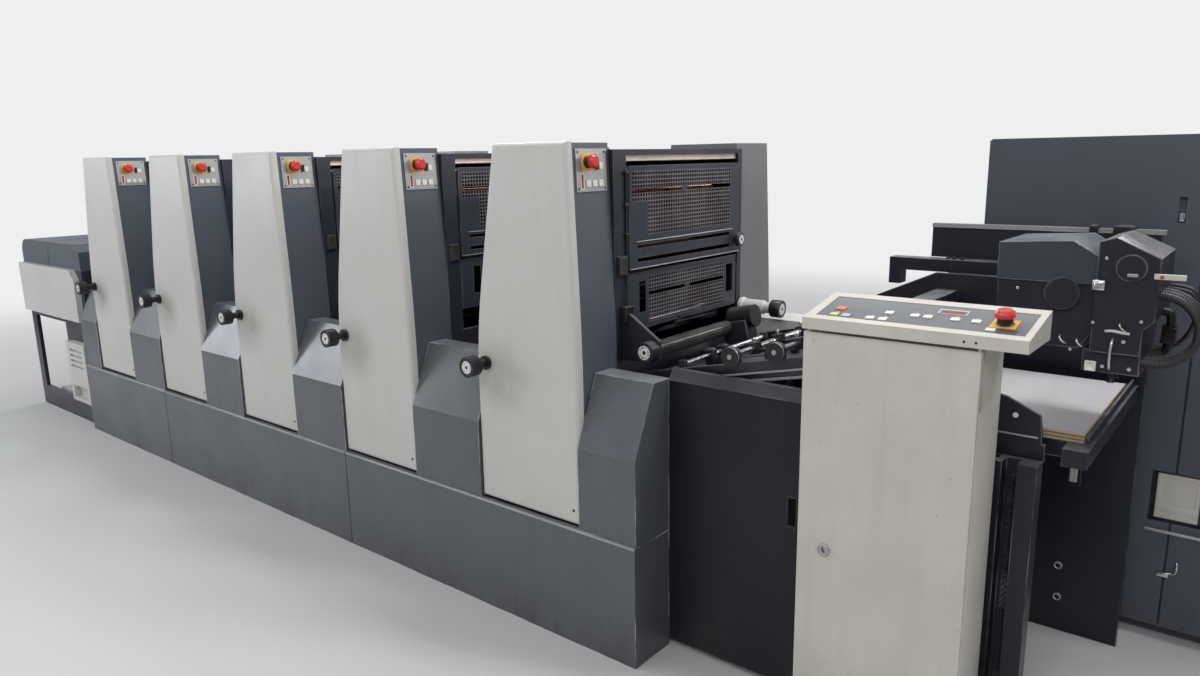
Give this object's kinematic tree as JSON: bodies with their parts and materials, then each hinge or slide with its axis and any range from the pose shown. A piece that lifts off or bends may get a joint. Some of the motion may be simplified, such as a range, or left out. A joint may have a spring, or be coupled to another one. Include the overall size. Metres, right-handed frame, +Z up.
{
  "type": "sheet-fed offset printing press",
  "caption": "Small-format sheet-fed offset press: a row of printing units on a long base, with a feeder, pile lift, console, electrical cabinet and low delivery.",
  "frame": {"origin": "centre of the press's bounding box, on the floor", "axes": "+X from the delivery towards the feeder, the operator stands on the -Y side, +Z up"},
  "size_m": [6.344, 1.5902, 1.477],
  "materials": {
    "cover_paint": "pale warm grey satin paint",
    "console_paint": "cream satin paint, slightly soiled",
    "housing_paint": "blue grey satin paint",
    "base_paint": "grey satin paint",
    "frame_paint": "dark grey semi-gloss paint",
    "feeder_paint": "black satin paint",
    "cabinet_paint": "dark grey textured paint",
    "black_plastic": "black moulded plastic",
    "red_plastic": "red moulded plastic",
    "white_plastic": "white translucent plastic",
    "plate_steel": "brushed steel plate",
    "cylinder_chrome": "ground and plated steel",
    "roller_copper": "copper coloured roller shell",
    "hose_rubber": "black reinforced hose",
    "board_wood": "pale faced wooden board"
  },
  "bodies": {
    "root": {"base_bed": "frame_paint", "base_panels": "base_paint", "step_covers": "base_paint", "unit_1_cover": "cover_paint", "unit_2_cover": "cover_paint", "unit_3_cover": "cover_paint", "unit_4_cover": "cover_paint", "unit_5_cover": "cover_paint", "unit_1_housing": "housing_paint", "unit_2_housing": "housing_paint", "unit_3_housing": "housing_paint", "unit_4_housing": "housing_paint", "unit_5_housing": "housing_paint", "unit_frames": "frame_paint", "drive_housings": "housing_paint", "stop_plates": "plate_steel", "stop_heads": "red_plastic", "control_buttons": "white_plastic", "inner_guards": "frame_paint", "press_cylinders": "cylinder_chrome", "ink_rollers": "roller_copper", "feed_side_panels": "feeder_paint", "feed_drive_cover": "cover_paint", "feedboard": "frame_paint", "feed_wheels": "black_plastic", "feeder_frame": "feeder_paint", "feeder_rails": "plate_steel", "suction_head": "feeder_paint", "head_hoses": "hose_rubber", "console_body": "console_paint", "console_top": "console_paint", "cabinet_body": "cabinet_paint", "cabinet_doors": "cabinet_paint", "delivery_frame": "frame_paint", "delivery_hood": "housing_paint", "delivery_side_panels": "cover_paint", "delivery_box": "cover_paint", "delivery_pile_board": "board_wood"},
    "knob_1": {"unit_1_knob": "black_plastic"},
    "knob_2": {"unit_2_knob": "black_plastic"},
    "knob_3": {"unit_3_knob": "black_plastic"},
    "knob_4": {"unit_4_knob": "black_plastic"},
    "knob_5": {"unit_5_knob": "black_plastic"},
    "upper_guard": {"unit_1_upper_guard": "frame_paint"},
    "lower_guard": {"unit_1_lower_guard": "frame_paint"},
    "console_door": {"console_door": "console_paint"},
    "pile_lift": {"pile_carriage": "feeder_paint", "pile_board": "board_wood"}
  },
  "joints": [
    {"name": "knob_1_turn", "type": "hinge", "parent": "root", "child": "knob_1", "pos_m": [0.896, -0.72285, 0.82], "axis": [0, -1, 0], "continuous": true},
    {"name": "knob_2_turn", "type": "hinge", "parent": "root", "child": "knob_2", "pos_m": [0.156, -0.72285, 0.82], "axis": [0, -1, 0], "continuous": true},
    {"name": "knob_3_turn", "type": "hinge", "parent": "root", "child": "knob_3", "pos_m": [-0.584, -0.72285, 0.82], "axis": [0, -1, 0], "continuous": true},
    {"name": "knob_4_turn", "type": "hinge", "parent": "root", "child": "knob_4", "pos_m": [-1.324, -0.72285, 0.82], "axis": [0, -1, 0], "continuous": true},
    {"name": "knob_5_turn", "type": "hinge", "parent": "root", "child": "knob_5", "pos_m": [-2.064, -0.72285, 0.82], "axis": [0, -1, 0], "continuous": true},
    {"name": "upper_guard_hinge", "type": "hinge", "parent": "root", "child": "upper_guard", "pos_m": [1.25, -0.22285, 1.4], "axis": [0, -1, 0], "range_deg": [0, 80]},
    {"name": "lower_guard_hinge", "type": "hinge", "parent": "root", "child": "lower_guard", "pos_m": [1.244, -0.22285, 1.082], "axis": [0, -1, 0], "range_deg": [0, 80]},
    {"name": "console_door_hinge", "type": "hinge", "parent": "root", "child": "console_door", "pos_m": [2.333, -0.71785, 0.5], "axis": [0, 0, 1], "range_deg": [0, 110]},
    {"name": "pile_lift_slide", "type": "slide", "parent": "root", "child": "pile_lift", "axis": [0, 0, 1], "range_m": [-0.6, 0.12]}
  ]
}
